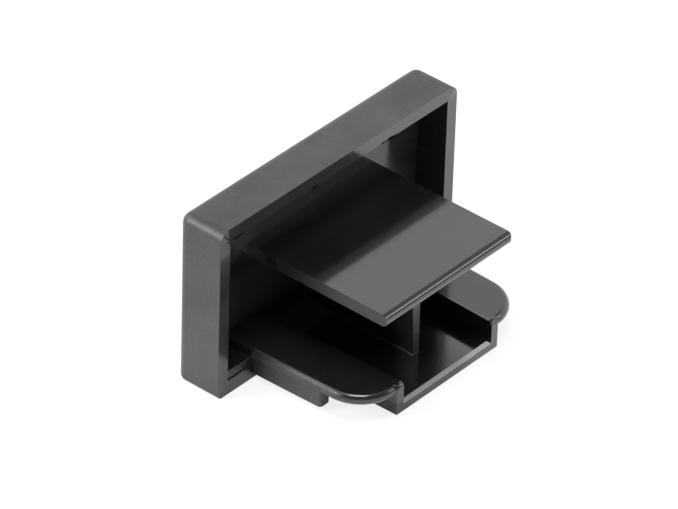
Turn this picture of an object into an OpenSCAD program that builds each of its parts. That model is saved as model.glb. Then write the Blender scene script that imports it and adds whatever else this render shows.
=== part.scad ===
// End cap for a lighting track, moulded in one piece. A shallow box closes the end of
// the track, and a plug in front of it goes into the track's hollow: a flat tongue, a
// channel with two side wings on skirts below it, and a thin web between the two.
// X runs across the track, +Y from the rim towards the plug's tip, and +Z is up. The
// origin is on the underside, in the plane of the rim, midway across.

/* [Cap] */
// Width of the cap, across the track
cap_w = 35; // [31:0.5:44]
// Height of the cap
cap_h = 19.7; // [17:0.1:30]
// Depth of the cap, from the rim to the outer back face
cap_d = 5.4; // [4.5:0.1:9]
// Thickness of the back plate behind the pocket
back_t = 1.7; // [1:0.1:2.5]
// Thickness of the side walls and the top wall
rim_t = 1.4; // [1:0.1:2]
// Thickness of the bottom wall
bottom_t = 1.6; // [1.4:0.1:2.4]
// Radius of the two upper outer edges that run from front to back
side_r = 1.15; // [0.4:0.05:2.5]
// Radius of the outer edges round the back face
back_r = 1.05; // [0.2:0.05:1.1]
// Radius of the outer edges round the underside
base_r = 0.6; // [0.1:0.05:1]

/* [Ledge in the pocket] */
// Height of the ledge that lies on the bottom wall beside the plug
ledge_h = 1.05; // [0.5:0.05:1.5]
// How far the front of the ledge is set back from the rim
ledge_set = 0.12; // [0.05:0.01:1]

/* [Tongue] */
// Width of the tongue
tongue_w = 18.8; // [12:0.1:26]
// Thickness of the tongue
tongue_t = 1.3; // [1:0.05:2.4]
// Height of the tongue's top face above the underside
tongue_top = 12.75; // [9:0.05:15]
// How far the tongue stands out in front of the rim
tongue_l = 14.1; // [9:0.05:20]
// Radius of the tongue's upper front edge
nose_r = 0.65; // [0.2:0.05:1.2]
// Radius of the tongue's lower front edge
chin_r = 0.55; // [0.1:0.05:1.2]
// Radius of the tongue's two front corners, seen from above
tongue_corner_r = 0.3; // [0.1:0.1:4]

/* [Web] */
// Thickness of the web where it meets the tongue
web_top_t = 1.35; // [0.7:0.05:2]
// Thickness of the web where it meets the channel's floor
web_base_t = 0.75; // [0.5:0.05:2]
// How far the web stands out in front of the rim
web_l = 10.25; // [4:0.05:13]
// How far the web's front edge leans back between the channel's floor and the tongue
web_lean = 0.3; // [0:0.05:1]
// Size of the slope where the web's sides meet the channel's floor
web_foot = 0.15; // [0.05:0.05:0.4]

/* [Channel] */
// Outer width of the channel in the plane of the rim
channel_w = 16; // [12:0.1:19]
// Thickness of the channel's side walls
channel_wall = 0.95; // [0.7:0.05:1.6]
// Thickness of the channel's floor
floor_t = 1.3; // [0.8:0.05:1.4]
// How far the channel stands out in front of the rim
channel_l = 14.3; // [9:0.1:20]
// Angle by which the channel's and the wings' sides lean in towards the tip
taper = 1.7; // [0:0.1:4]
// Radius of the upper front corner of each side wall
wall_nose_r = 0.5; // [0.2:0.05:1]
// Radius of the side walls' upper outer edges
crest_r = 0.05; // [0.05:0.05:0.3]
// Radius of the channel's two lower outer edges
keel_r = 0.2; // [0.1:0.05:0.6]
// Radius of the channel's lower front edge
lip_r = 0.2; // [0.1:0.05:0.6]
// Size of the bevel on the floor's front edge
floor_bevel = 0.33; // [0.1:0.01:0.6]

/* [Wings] */
// Width over both wings in the plane of the rim
wing_w = 25.2; // [21:0.1:28]
// Thickness of the wings
wing_t = 1.2; // [0.9:0.05:1.8]
// Height of the wings' top face above the underside
wing_top = 3.5; // [3:0.05:6]
// How far the wings stand out in front of the rim
wing_l = 14.15; // [8:0.05:20]
// Radius of the wings' front corners, seen from above
wing_corner_r = 4.35; // [1:0.05:5]
// Radius of the wings' upper edge
wing_edge_r = 0.6; // [0.1:0.05:0.9]
// Radius of the wings' lower edge
wing_under_r = 0.55; // [0.05:0.05:0.9]

/* [Skirts] */
// Thickness of the skirt under each wing
skirt_t = 1.5; // [0.8:0.1:2]
// How far the skirts stand out in front of the rim
skirt_l = 8.3; // [2:0.05:9]
// How far the skirts' outer faces are set in from the wings' outer edges
skirt_set = 0.3; // [0:0.05:1]
// Height of the skirts' lower edge above the underside
skirt_gap = 0.45; // [0:0.05:1]
// Radius of the skirts' front outer edge
skirt_r = 0.4; // [0.1:0.05:0.6]

/* [Hidden] */
$fn = 64;
// How far a piece of the body reaches into its neighbour, so that the two are one
bite = 0.5;
// How far a cutting shape reaches past the face that it opens
over = 1;
// Flat left at the least between two round edges of one plate
flat = 0.02;
pocket_d = cap_d - back_t;
edge_r = min(back_r, side_r - flat);
// The plug starts inside the back plate
root_y = -pocket_d - bite;
wing_r = min(wing_corner_r, (wing_w - channel_w) / 2);
wing_cy = wing_l - wing_r;
wing_cx = wing_w / 2 - wing_r / cos(taper) - wing_cy * tan(taper);
wing_top_r = min(wing_edge_r, (wing_t - flat) / 2);
wing_low_r = min(wing_under_r, (wing_t - flat) / 2);
plastic = [0.09, 0.09, 0.09];

// Flat shape, w wide about x = 0 and d deep behind y = 0, with its two back corners round
module back_rounded(w, d, r) {
    translate([-w / 2, r - d]) square([w, d - r]);
    translate([r - w / 2, -d]) square([w - 2 * r, d]);
    for (side = [-1, 1])
        translate([side * (w / 2 - r), r - d]) circle(r);
}

// Solid block behind y = 0: r on the two upper edges that run to the back, rb round the
// back face and ru round the underside
module soft_block(w, h, d, r, rb, ru) {
    translate([w / 2 - r, 0, h / 2]) rotate([90, 0, -90])
        linear_extrude(w - 2 * r) corner_section(d, h / 2, rb);
    translate([rb - w / 2, 0, h - r]) rotate([180, 0, 0]) rotate([90, 0, 90])
        linear_extrude(w - 2 * rb) corner_section(d, h - r, ru);
    for (side = [0, 1])
        mirror([side, 0, 0]) {
            translate([w / 2 - r, 0, h - r]) rotate([90, 0, 0])
                rotate_extrude(angle = 90) corner_section(r, d, rb);
            translate([w / 2 - rb, rb - d, h - r]) rotate([180, 0, 0])
                rotate_extrude(angle = 90) corner_section(rb, h - r, ru);
            translate([w / 2 - rb, rb - d, h - r]) rotate([-90, 0, 0])
                linear_extrude(d - rb) corner_section(rb, h - r, ru);
        }
}

// Rectangle of r by d from the origin, with the corner farthest from it round
module corner_section(r, d, rb) {
    square([r, d - rb]);
    square([r - rb, d]);
    translate([r - rb, d - rb]) intersection() {
        circle(rb);
        square(2 * rb);
    }
}

// Section of a plate's edge: the plate reaches from x = 0 to x = reach, from y = 0 to y = t
module edge_section(reach, t, r_top, r_under) {
    translate([0, r_under]) square([reach - r_top, t - r_under]);
    translate([0, r_under]) square([reach, t - r_top - r_under]);
    square([reach - r_under, t - r_top]);
    translate([reach - r_top, t - r_top]) circle(r_top);
    translate([reach - r_under, r_under]) circle(r_under);
}

// Straight bar of a flat section, laid from y = 0 back to y = -length
module bar_back(length) {
    rotate([90, 0, 0]) linear_extrude(length) children();
}

// Side outline (Y to the right, Z up) drawn out to both sides of x = 0
module side_prism(w) {
    translate([-w / 2, 0, 0]) rotate([90, 0, 90]) linear_extrude(w) children();
}

// Shallow box with its round outer edges and the pocket that opens at the rim
module cap_shell() {
    difference() {
        soft_block(cap_w, cap_h, cap_d, side_r, edge_r, min(base_r, edge_r - flat));
        translate([rim_t - cap_w / 2, -pocket_d, bottom_t])
            cube([cap_w - 2 * rim_t, pocket_d + over, cap_h - rim_t - bottom_t]);
    }
}

// Low ledge on the bottom wall, just behind the rim
module ledge() {
    translate([rim_t - bite - cap_w / 2, root_y, bottom_t - bite])
        cube([cap_w - 2 * (rim_t - bite), -ledge_set - root_y, ledge_h + bite]);
}

// Flat tongue with a round nose
module tongue() {
    corner = min(tongue_corner_r, (tongue_w - flat) / 2);
    top_r = min(nose_r, (tongue_t - flat) / 2);
    low_r = min(chin_r, (tongue_t - flat) / 2);
    intersection() {
        translate([0, 0, tongue_top - tongue_t - over])
            linear_extrude(tongue_t + 2 * over) translate([0, root_y]) mirror([0, 1])
                back_rounded(tongue_w, tongue_l - root_y, corner);
        side_prism(tongue_w + 2 * over) translate([root_y, tongue_top - tongue_t])
            edge_section(tongue_l - root_y, tongue_t, top_r, low_r);
    }
}

// Thin web that carries the tongue on the channel's floor
module web() {
    low = floor_t - bite;
    high = tongue_top - tongue_t / 2;
    intersection() {
        translate([0, web_l + over, 0]) bar_back(web_l + over - root_y) {
            polygon([[-web_base_t / 2, low], [web_base_t / 2, low],
                     [web_top_t / 2, high], [-web_top_t / 2, high]]);
            translate([0, floor_t]) polygon([
                [-web_base_t / 2 - web_foot, 0], [-web_base_t / 2 - web_foot, -bite / 2],
                [web_base_t / 2 + web_foot, -bite / 2], [web_base_t / 2 + web_foot, 0],
                [web_base_t / 2, web_foot], [-web_base_t / 2, web_foot]]);
        }
        side_prism(2 * (web_top_t + web_base_t + web_foot)) polygon([
            [root_y - over, low - over], [web_l, low - over], [web_l, floor_t],
            [web_l - web_lean, high], [root_y - over, high]]);
    }
}

// Plan of one half of the channel between its middle and a line that is in by inset
module channel_plan(inset) {
    from = root_y;
    to = channel_l + over;
    edge = channel_w / 2 - inset;
    polygon([[-bite, from], [edge - from * tan(taper), from],
             [edge - to * tan(taper), to], [-bite, to]]);
}

// One half of the channel's outer form, at full height, with its lower outer edge round
module channel_half() {
    reach = channel_w / 2 * cos(taper);
    intersection() {
        rotate([0, 0, taper]) translate([0, channel_l + over, 0])
            bar_back(channel_l + over - root_y + channel_w)
                translate([-over, 0]) mirror([0, 1]) translate([0, -wing_top])
                    edge_section(reach + over, wing_top, keel_r, crest_r);
        linear_extrude(wing_top) channel_plan(0);
    }
}

// Open channel: two side walls on a floor, all leaning in towards the tip
module channel() {
    intersection() {
        for (side = [0, 1])
            mirror([side, 0, 0]) channel_half();
        side_prism(2 * channel_w) translate([root_y, 0])
            edge_section(channel_l - root_y, wing_top, wall_nose_r, lip_r);
    }
}

// Space inside the channel, from the back plate out past the tip
module channel_space() {
    for (side = [0, 1])
        mirror([side, 0, 0]) translate([0, 0, floor_t])
            linear_extrude(wing_top) intersection() {
                channel_plan(channel_wall);
                translate([-bite, -pocket_d]) square([channel_w, pocket_d + channel_l + over]);
            }
    side_prism(channel_w - 2 * (channel_wall + channel_l * tan(taper))) polygon([
        [channel_l - floor_bevel, floor_t], [channel_l + over, floor_t - floor_bevel - over],
        [channel_l + over, floor_t]]);
}

// Wing on the +X side, with a round front corner and its side leaning in with the channel
module wing() {
    translate([0, 0, wing_top - wing_t]) {
        translate([wing_cx, wing_cy, 0]) {
            rotate_extrude() edge_section(wing_r, wing_t, wing_top_r, wing_low_r);
            rotate([0, 0, taper]) bar_back(wing_cy - root_y)
                edge_section(wing_r, wing_t, wing_top_r, wing_low_r);
            rotate([0, 0, 90]) translate([0, wing_cx, 0]) bar_back(wing_cx)
                edge_section(wing_r, wing_t, wing_top_r, wing_low_r);
        }
        linear_extrude(wing_t) polygon([
            [0, root_y], [wing_cx + wing_r / 2 + (wing_cy - root_y) * tan(taper), root_y],
            [wing_cx + wing_r / 2, wing_cy], [0, wing_cy]]);
    }
}

// Skirt that stands under the wing, a little in from its sloping outer edge. Its inner
// face runs straight to the front, so the skirt gets thinner towards its tip.
module skirt() {
    inner = wing_w / 2 - skirt_set - skirt_t;
    intersection() {
        translate([wing_cx, wing_cy, skirt_gap]) rotate([0, 0, taper])
            linear_extrude(wing_top - wing_t / 2 - skirt_gap)
                translate([wing_r - skirt_set - 2 * skirt_t, 0]) mirror([0, 1])
                    skirt_plan(2 * skirt_t, wing_cy - skirt_l, wing_cy - root_y);
        translate([inner, root_y - over, 0])
            cube([skirt_t + bite, skirt_l - root_y + 2 * over, wing_top]);
    }
}

// Plan of a bar of width w between two distances behind the corner's centre
module skirt_plan(w, near, far) {
    translate([0, near]) square([w - skirt_r, far - near]);
    translate([0, near + skirt_r]) square([w, far - near - skirt_r]);
    translate([w - skirt_r, near + skirt_r]) circle(skirt_r);
}

// The whole moulding
module end_cap() {
    color(plastic) {
        difference() {
            union() {
                cap_shell();
                ledge();
                channel();
                for (side = [0, 1])
                    mirror([side, 0, 0]) {
                        wing();
                        skirt();
                    }
            }
            channel_space();
        }
        tongue();
        web();
    }
}

end_cap();
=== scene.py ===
"""Looks for the track end cap: one satin and gloss black moulding on a white table."""

import math
from types import SimpleNamespace

import bpy
from mathutils import Matrix, Vector


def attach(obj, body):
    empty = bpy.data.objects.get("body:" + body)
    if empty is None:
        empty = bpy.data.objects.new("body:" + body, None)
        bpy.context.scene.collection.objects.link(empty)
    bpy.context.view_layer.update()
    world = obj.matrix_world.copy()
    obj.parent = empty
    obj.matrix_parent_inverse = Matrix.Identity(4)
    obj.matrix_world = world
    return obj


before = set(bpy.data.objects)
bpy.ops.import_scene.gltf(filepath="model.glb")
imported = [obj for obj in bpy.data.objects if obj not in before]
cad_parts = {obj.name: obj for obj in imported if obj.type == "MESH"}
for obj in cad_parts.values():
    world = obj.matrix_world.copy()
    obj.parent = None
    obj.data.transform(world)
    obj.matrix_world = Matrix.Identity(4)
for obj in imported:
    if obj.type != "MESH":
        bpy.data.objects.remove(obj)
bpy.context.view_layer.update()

MM = 0.001

# Where faces of the CAD part lie, in mm
POCKET_X, POCKET_TOP = 16.1, 18.3  # inner faces of the rim's walls
BACK_Y, PLATE_Y, TIP_Y = -5.4, -3.7, 14.3
CHANNEL_X = 8.0  # outer faces of the channel's walls
FLOOR_Z = 1.3  # the channel's floor
WING_Z = 3.5  # the wings' top
TONGUE_X, TONGUE_Z = 9.4, 11.45  # the tongue's sides and underside

SOFT_EDGE = 0.1 * MM
PLASTIC_IOR = 1.52
NOISE_RANGE = (0.34, 0.66)  # nearly all values of a noise lie in it

# Start and end along the width, and the half widths between them, in mm
NICKS = (
    (14.45, 15.75, (0.04, 0.15, 0.10, 0.13, 0.02)),
    (3.30, 4.45, (0.02, 0.08, 0.16, 0.09, 0.02)),
    (-8.40, -5.90, (0.02, 0.08, 0.12, 0.20, 0.10, 0.06, 0.12, 0.02)))
NICK_DEPTH = 0.6  # depth over width

TABLE_HALF = 3.0
SOFTBOX_DISTANCE, SOFTBOX_W = 1.2, 0.5
ROOM_BRIGHT_SIDE = (-0.55, -0.83, 0.0)

# Fitted to the photo: azimuth, elevation and roll in degrees, place in mm, lens in pixels
CAMERA_ANGLES = (129.7590, 35.8540, 1.8542)
CAMERA_PLACE = (365.4248, 304.1097, 351.7650)
FOCAL_PX, PHOTO_W_PX = 6000, 678
SENSOR_W = 36.0


class Wire:
    """A node's output that Python arithmetic can be done on."""

    def __init__(self, tree, socket):
        self.tree = tree
        self.socket = socket

    def _math(self, operation, *values):
        return self.tree.add(
            "ShaderNodeMath", {"operation": operation}, dict(enumerate(values)))

    def __add__(self, other):
        return self._math("ADD", self, other)

    def __radd__(self, other):
        return self._math("ADD", other, self)

    def __rsub__(self, other):
        return self._math("SUBTRACT", other, self)

    def __mul__(self, other):
        return self._math("MULTIPLY", self, other)

    def __rmul__(self, other):
        return self._math("MULTIPLY", other, self)

    def __abs__(self):
        return self._math("ABSOLUTE", self)

    def at_least(self, other):
        return self._math("MAXIMUM", self, other)

    def ramp(self, low, high, to_low=0.0, to_high=1.0):
        """Smooth step from to_low at low to to_high at high."""
        return self.tree.add(
            "ShaderNodeMapRange", {"interpolation_type": "SMOOTHSTEP", "clamp": True},
            {"Value": self, "From Min": low, "From Max": high,
             "To Min": to_low, "To Max": to_high})

    def above(self, low, high):
        """Mask that rises from 0 at low to 1 at high, both in mm."""
        return self.ramp(low * MM, high * MM)

    def below(self, low, high):
        """Mask that falls from 1 at low to 0 at high, both in mm."""
        return self.ramp(low * MM, high * MM, 1.0, 0.0)


class Tree:
    """A node tree that is filled from Python."""

    def __init__(self, owner):
        owner.use_nodes = True
        self.tree = owner.node_tree
        self.tree.nodes.clear()

    def add(self, kind, settings=None, inputs=None, output=0):
        """New node. Its sockets go by name, or by number where names repeat."""
        node = self.tree.nodes.new(kind)
        for name, value in (settings or {}).items():
            setattr(node, name, value)
        for name, value in (inputs or {}).items():
            if isinstance(value, Wire):
                self.tree.links.new(value.socket, node.inputs[name])
            else:
                node.inputs[name].default_value = value
        return Wire(self, node.outputs[output])

    def coordinates(self, kind="Object"):
        """The shaded point or direction, and its three coordinates."""
        point = self.add("ShaderNodeTexCoord", output=kind)
        return point, [self.add("ShaderNodeSeparateXYZ", inputs={"Vector": point}, output=i)
                       for i in range(3)]

    def noise(self, point, scale, detail=2.0, roughness=0.5):
        return self.add("ShaderNodeTexNoise", {"noise_dimensions": "3D"},
                        {"Vector": point, "Scale": scale, "Detail": detail,
                         "Roughness": roughness})

    def blend(self, factor, first, second):
        """Colour between two others."""
        return self.add("ShaderNodeMix", {"data_type": "RGBA"},
                        {0: factor, 6: first, 7: second}, output=2)

    def finish(self, surface, kind="ShaderNodeOutputMaterial"):
        node = self.tree.nodes.new(kind)
        self.tree.links.new(surface.socket, node.inputs["Surface"])


def grey(value):
    return (value, value, value, 1.0)


def new_object(name, data):
    """New object in the scene."""
    piece = bpy.data.objects.new(name, data)
    bpy.context.scene.collection.objects.link(piece)
    return piece


def set_material(piece, material):
    piece.data.materials.clear()
    piece.data.materials.append(material)


def zones(x, y, z):
    """Masks of the faces that differ in gloss or tone, and of painted light and shade."""
    side = abs(x)
    in_cap = y.below(0.02, 0.06)
    on_plug = y.above(0.0, 0.5)
    past_channel = side.above(CHANNEL_X, CHANNEL_X + 0.1)
    under_wing_top = z.below(WING_Z - 0.06, WING_Z - 0.01)

    rim = y.above(-0.03, -0.01) * in_cap
    outside = (side.above(POCKET_X + 0.05, POCKET_X + 0.2)
               .at_least(z.above(POCKET_TOP + 0.05, POCKET_TOP + 0.2))
               .at_least(y.below(BACK_Y + 0.7, BACK_Y + 1.0))
               .at_least(z.below(1.3, 1.4) * in_cap))
    wing_edge = past_channel * under_wing_top * on_plug * y.below(9.5, 12.0)
    wing_front = (past_channel * z.below(WING_Z - 0.04, WING_Z - 0.005)
                  * y.above(9.5, 12.0))
    # Painted shade where the wings meet the rim: the darker gloss tone instead of satin, rough
    # and without clear gloss
    painted_root_shade = (y.below(0.3, 2.4) * under_wing_top * side.above(10.5, 11.0)
                 * (1.0 - in_cap))
    satin = outside.at_least(wing_edge) * (1.0 - rim) * (1.0 - painted_root_shade)

    # Clear gloss over the plug and the rim, missing where the plastic is duller, and at the
    # wings' roots as part of their painted shade
    web = (side.below(0.85, 0.95) * z.below(TONGUE_Z - 0.05, TONGUE_Z - 0.01)
           * z.above(FLOOR_Z + 0.01, FLOOR_Z + 0.04)
           * y.below(9.0, 10.0).at_least(z.below(6.0, 9.0)) * y.below(10.6, 10.7))
    tongue_side = (side.above(TONGUE_X - 0.04, TONGUE_X - 0.01)
                   * side.below(TONGUE_X + 0.02, TONGUE_X + 0.1)
                   * z.above(TONGUE_Z - 0.05, TONGUE_Z + 0.05) * y.above(0.0, 0.1))
    right_wing = (x.below(-7.1, -6.9) * z.above(WING_Z - 0.08, WING_Z - 0.03)
                  * z.below(WING_Z + 0.05, WING_Z + 0.1) * on_plug)
    channel_floor = z.below(FLOOR_Z + 0.1, FLOOR_Z + 0.15) * x.above(-4.5, -1.0)
    duller_and_root_shade = painted_root_shade.at_least(web).at_least(tongue_side).at_least(0.45 * right_wing)
    lacquer = ((y.above(-2.0, 4.0) * (1.0 - satin) * (1.0 - channel_floor))
               .at_least(rim) * (1.0 - duller_and_root_shade))

    # Depth of the pocket: painted light in it, and painted shade on its back plate towards +x
    # and upwards
    plate = y.below(PLATE_Y + 0.1, PLATE_Y + 0.2) * (1.0 - satin)
    under_tongue = z.below(TONGUE_Z + 0.01, TONGUE_Z + 0.05)
    right_wall = x.below(0.05 - POCKET_X, 0.1 - POCKET_X)
    # Painted shade: most of the pocket's painted light is taken off the back plate towards +x
    # and upwards
    painted_plate_shade = plate * x.above(4.0, 9.0) * z.above(5.0, 9.0)
    # Painted light: a paler tone deep in the pocket, under the tongue, on its right wall and on
    # the back plate
    painted_pocket_light = (z.above(WING_Z + 0.05, WING_Z + 0.2)
            * under_tongue.at_least(right_wall).at_least(plate)
            * (1.0 - satin) * (1.0 - 0.8 * painted_plate_shade))
    inner = (y.below(4.0, 9.0)
             * (under_tongue * (1.0 - plate) + z.below(8.0, 12.5) * plate)
             * (1.0 - rim))

    # Front and outer side of the channel's walls, which get a paler tone as painted light
    low_front = (y.above(TIP_Y - 0.1, TIP_Y - 0.04) * z.below(5.0, 5.2)
                 * x.above(-10.0, -6.0) * x.below(5.0, 6.0))
    wall_side = (side.above(CHANNEL_X - 0.4, CHANNEL_X - 0.2)
                 * side.below(CHANNEL_X + 0.6, CHANNEL_X + 0.8)
                 * z.below(2.2, 2.3) * y.above(8.3, 8.6))
    return SimpleNamespace(
        satin=satin, lacquer=lacquer, rim=rim, rim_left=rim * x.above(14.0, 15.0),
        wing_edge=wing_edge, wing_front=wing_front, painted_root_shade=painted_root_shade,
        tongue_side=tongue_side, inner=inner.at_least(web), painted_pocket_light=painted_pocket_light,
        painted_plate_light=plate * z.above(10.5, 13.0), painted_front_light=low_front.at_least(wall_side))


def black_plastic():
    """Black plastic: satin on the outside of the cap, glossy in the pocket and on the plug."""
    material = bpy.data.materials.new("black_plastic")
    tree = Tree(material)
    point, axes = tree.coordinates()
    zone = zones(*axes)

    grain = tree.noise(point, 9000.0, 3.0, 0.6)
    speck = tree.noise(point, 3200.0, 3.0, 0.7)
    cloud = tree.noise(point, 260.0, 3.0, 0.55)
    flow = tree.noise(point, 90.0, 2.0, 0.5)

    mottle = (cloud * 0.35 + flow * 0.25 + speck * 0.4).ramp(*NOISE_RANGE)
    fine_mottle = (speck * 0.8 + cloud * 0.2).ramp(*NOISE_RANGE)
    satin_tone = tree.blend(mottle, grey(0.027), grey(0.067))
    gloss_tone = tree.blend(fine_mottle, grey(0.010), grey(0.015))
    # Painted light: a paler tone deep in the pocket
    gloss_tone = tree.blend(zone.painted_pocket_light, gloss_tone, grey(0.028))
    # Painted light: a paler tone on the upper back plate
    gloss_tone = tree.blend(zone.painted_plate_light, gloss_tone, grey(0.044))
    # Painted light: a paler tone on the channel's front and outer walls
    gloss_tone = tree.blend(zone.painted_front_light, gloss_tone, grey(0.055))
    colour = tree.blend(zone.satin, gloss_tone, satin_tone)

    gloss_roughness = (
        0.06 + 0.12 * cloud + 0.04 * zone.rim + 0.05 * zone.rim_left
        + 0.12 * zone.wing_front + 0.45 * zone.painted_root_shade
        + 0.26 * zone.tongue_side + 0.20 * zone.inner)
    satin_roughness = 0.34 + 0.16 * cloud + 0.08 * zone.wing_edge
    roughness = gloss_roughness * (1.0 - zone.satin) + satin_roughness * zone.satin

    height = grain * (zone.satin * 0.045 + 0.004) + flow * 0.006
    normal = tree.add("ShaderNodeBump", inputs={
        "Strength": 0.6, "Distance": 1.0 * MM, "Height": height})
    tree.finish(tree.add("ShaderNodeBsdfPrincipled", inputs={
        "Base Color": colour, "Roughness": roughness, "Normal": normal,
        "IOR": PLASTIC_IOR, "Specular IOR Level": 0.75,
        "Coat Weight": 0.7 * zone.lacquer, "Coat Roughness": 0.05}))
    return material


def dress_cap():
    """Plastic on the moulding, and softer edges, because a mould's are never quite sharp."""
    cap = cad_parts["end_cap"]
    set_material(cap, black_plastic())
    for face in cap.data.polygons:
        face.use_smooth = True

    weld = cap.modifiers.new("weld", "WELD")
    weld.merge_threshold = 0.0005 * MM
    soften = cap.modifiers.new("soften", "BEVEL")
    soften.width = SOFT_EDGE
    soften.segments = 2
    soften.limit_method = "ANGLE"
    soften.angle_limit = math.radians(40)
    flatten = cap.modifiers.new("flatten", "WEIGHTED_NORMAL")
    flatten.mode = "FACE_AREA_WITH_ANGLE"
    flatten.weight = 100
    flatten.keep_sharp = False


def nick_shade_black():
    """Painted shade: near-black plastic that reflects nothing, for the dark lines along the
    rim's nicks.
    """
    material = bpy.data.materials.new("nick_shade_black")
    tree = Tree(material)
    point, _ = tree.coordinates()
    colour = tree.blend(tree.noise(point, 4000.0), grey(0.002), grey(0.008))
    tree.finish(tree.add("ShaderNodeBsdfPrincipled", inputs={
        "Base Color": colour, "Roughness": 0.7, "IOR": PLASTIC_IOR,
        "Specular IOR Level": 0.0}))
    return material


def nick_shade_ridges():
    """Ragged ridges with a diamond section along the upper inner edge of the rim, near-black as
    painted shade of its nicks.
    """
    verts, faces = [], []
    for start, end, widths in NICKS:
        first = len(verts)
        for i, width in enumerate(widths):
            x = start + (end - start) * i / (len(widths) - 1)
            verts += [(x * MM, out * NICK_DEPTH * width * MM, (POCKET_TOP + up * width) * MM)
                      for out, up in ((1, 0), (0, 1), (-1, 0), (0, -1))]
        for i in range(len(widths) - 1):
            a, b = first + 4 * i, first + 4 * (i + 1)
            faces += [(a + k, a + (k + 1) % 4, b + (k + 1) % 4, b + k) for k in range(4)]
        last = len(verts) - 4
        faces += [(first + 3, first + 2, first + 1, first), (last, last + 1, last + 2, last + 3)]
    mesh = bpy.data.meshes.new("nick_shade_ridges")
    mesh.from_pydata(verts, [], faces)
    nicks = new_object("nick_shade_ridges", mesh)
    set_material(nicks, nick_shade_black())
    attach(nicks, "root")


def white_floor():
    """White table. It glows towards the camera and in gloss, and keeps the object's shadow."""
    material = bpy.data.materials.new("white_floor")
    tree = Tree(material)
    _, (x, y, _) = tree.coordinates()
    # Painted shadow and light in gloss: the table's glow is weaker at low y beside the plug and
    # towards +x, stronger at high y and towards -x
    painted_glow_share = x.ramp(-16.0 * MM, 2.0 * MM, 0.85, 0.45) * y.ramp(6.0 * MM, 13.0 * MM, 0.55, 1.0)
    camera_ray = tree.add("ShaderNodeLightPath", output="Is Camera Ray")
    clear_ray = tree.add("ShaderNodeLightPath", output="Is Transmission Ray")
    gloss_ray = tree.add("ShaderNodeLightPath", output="Is Glossy Ray")
    seen = camera_ray.at_least(clear_ray).at_least(gloss_ray * painted_glow_share)
    plain = tree.add("ShaderNodeBsdfDiffuse", inputs={"Color": grey(0.85)})
    faint = tree.add("ShaderNodeBsdfDiffuse", inputs={"Color": grey(0.25)})
    glow = tree.add("ShaderNodeEmission", inputs={"Color": grey(1.0), "Strength": 0.82})
    both = tree.add("ShaderNodeAddShader", inputs={0: faint, 1: glow})
    tree.finish(tree.add("ShaderNodeMixShader", inputs={0: seen, 1: plain, 2: both}))
    return material


def table():
    corners = [(-1, -1), (1, -1), (1, 1), (-1, 1)]
    mesh = bpy.data.meshes.new("table")
    mesh.from_pydata([(x * TABLE_HALF, y * TABLE_HALF, 0) for x, y in corners],
                     [], [(0, 1, 2, 3)])
    floor = new_object("table", mesh)
    set_material(floor, white_floor())


def studio():
    """Room that is bright behind the object, darker on the camera's side and overhead."""
    world = bpy.data.worlds.new("studio")
    bpy.context.scene.world = world
    tree = Tree(world)
    direction, (_, _, height) = tree.coordinates("Generated")
    away = tree.add("ShaderNodeVectorMath", {"operation": "DOT_PRODUCT"},
                    {0: direction, 1: ROOM_BRIGHT_SIDE}, output="Value")
    room = away.ramp(-0.45, 0.25, 0.18, 1.05)
    camera_ray = tree.add("ShaderNodeLightPath", output="Is Camera Ray")
    level = room * height.ramp(0.60, 0.76, 1.0, 0.42) * (1.0 - camera_ray) + camera_ray
    tree.finish(tree.add("ShaderNodeBackground", inputs={
        "Color": grey(1.0), "Strength": level}), "ShaderNodeOutputWorld")


def softbox(name, direction, height, power):
    """Area lamp that shines at the object from a direction."""
    lamp = bpy.data.lights.new(name, "AREA")
    lamp.shape = "RECTANGLE"
    lamp.size, lamp.size_y = SOFTBOX_W, height
    lamp.energy = power
    place = new_object(name, lamp)
    back = Vector(direction).normalized()
    place.location = back * SOFTBOX_DISTANCE
    place.rotation_euler = (-back).to_track_quat("-Z", "Y").to_euler()


def camera():
    azimuth, elevation, roll = (math.radians(a) for a in CAMERA_ANGLES)
    back = Vector((math.sin(azimuth) * math.cos(elevation),
                   -math.cos(azimuth) * math.cos(elevation), math.sin(elevation)))
    right = (-back).cross(Vector((0, 0, 1))).normalized()
    up = right.cross(-back)
    right, up = (math.cos(roll) * right + math.sin(roll) * up,
                 math.cos(roll) * up - math.sin(roll) * right)
    data = bpy.data.cameras.new("camera")
    data.sensor_width = SENSOR_W
    data.lens = SENSOR_W * FOCAL_PX / PHOTO_W_PX
    data.clip_start, data.clip_end = 0.05, 20.0
    place = new_object("camera", data)
    place.matrix_world = (Matrix.Translation(Vector(CAMERA_PLACE) * MM)
                          @ Matrix((right, up, back)).transposed().to_4x4())
    bpy.context.scene.camera = place


dress_cap()
nick_shade_ridges()
table()
studio()
softbox("left_softbox", (0.69, -0.53, 0.5), 0.5, 9.0)
softbox("right_softbox", (-0.62, 0.645, 0.447), 0.22, 1.15)
softbox("overhead_softbox", (0.15, 0.1, 1.0), 0.5, 6.0)
camera()
bpy.context.scene.view_settings.view_transform = "Standard"
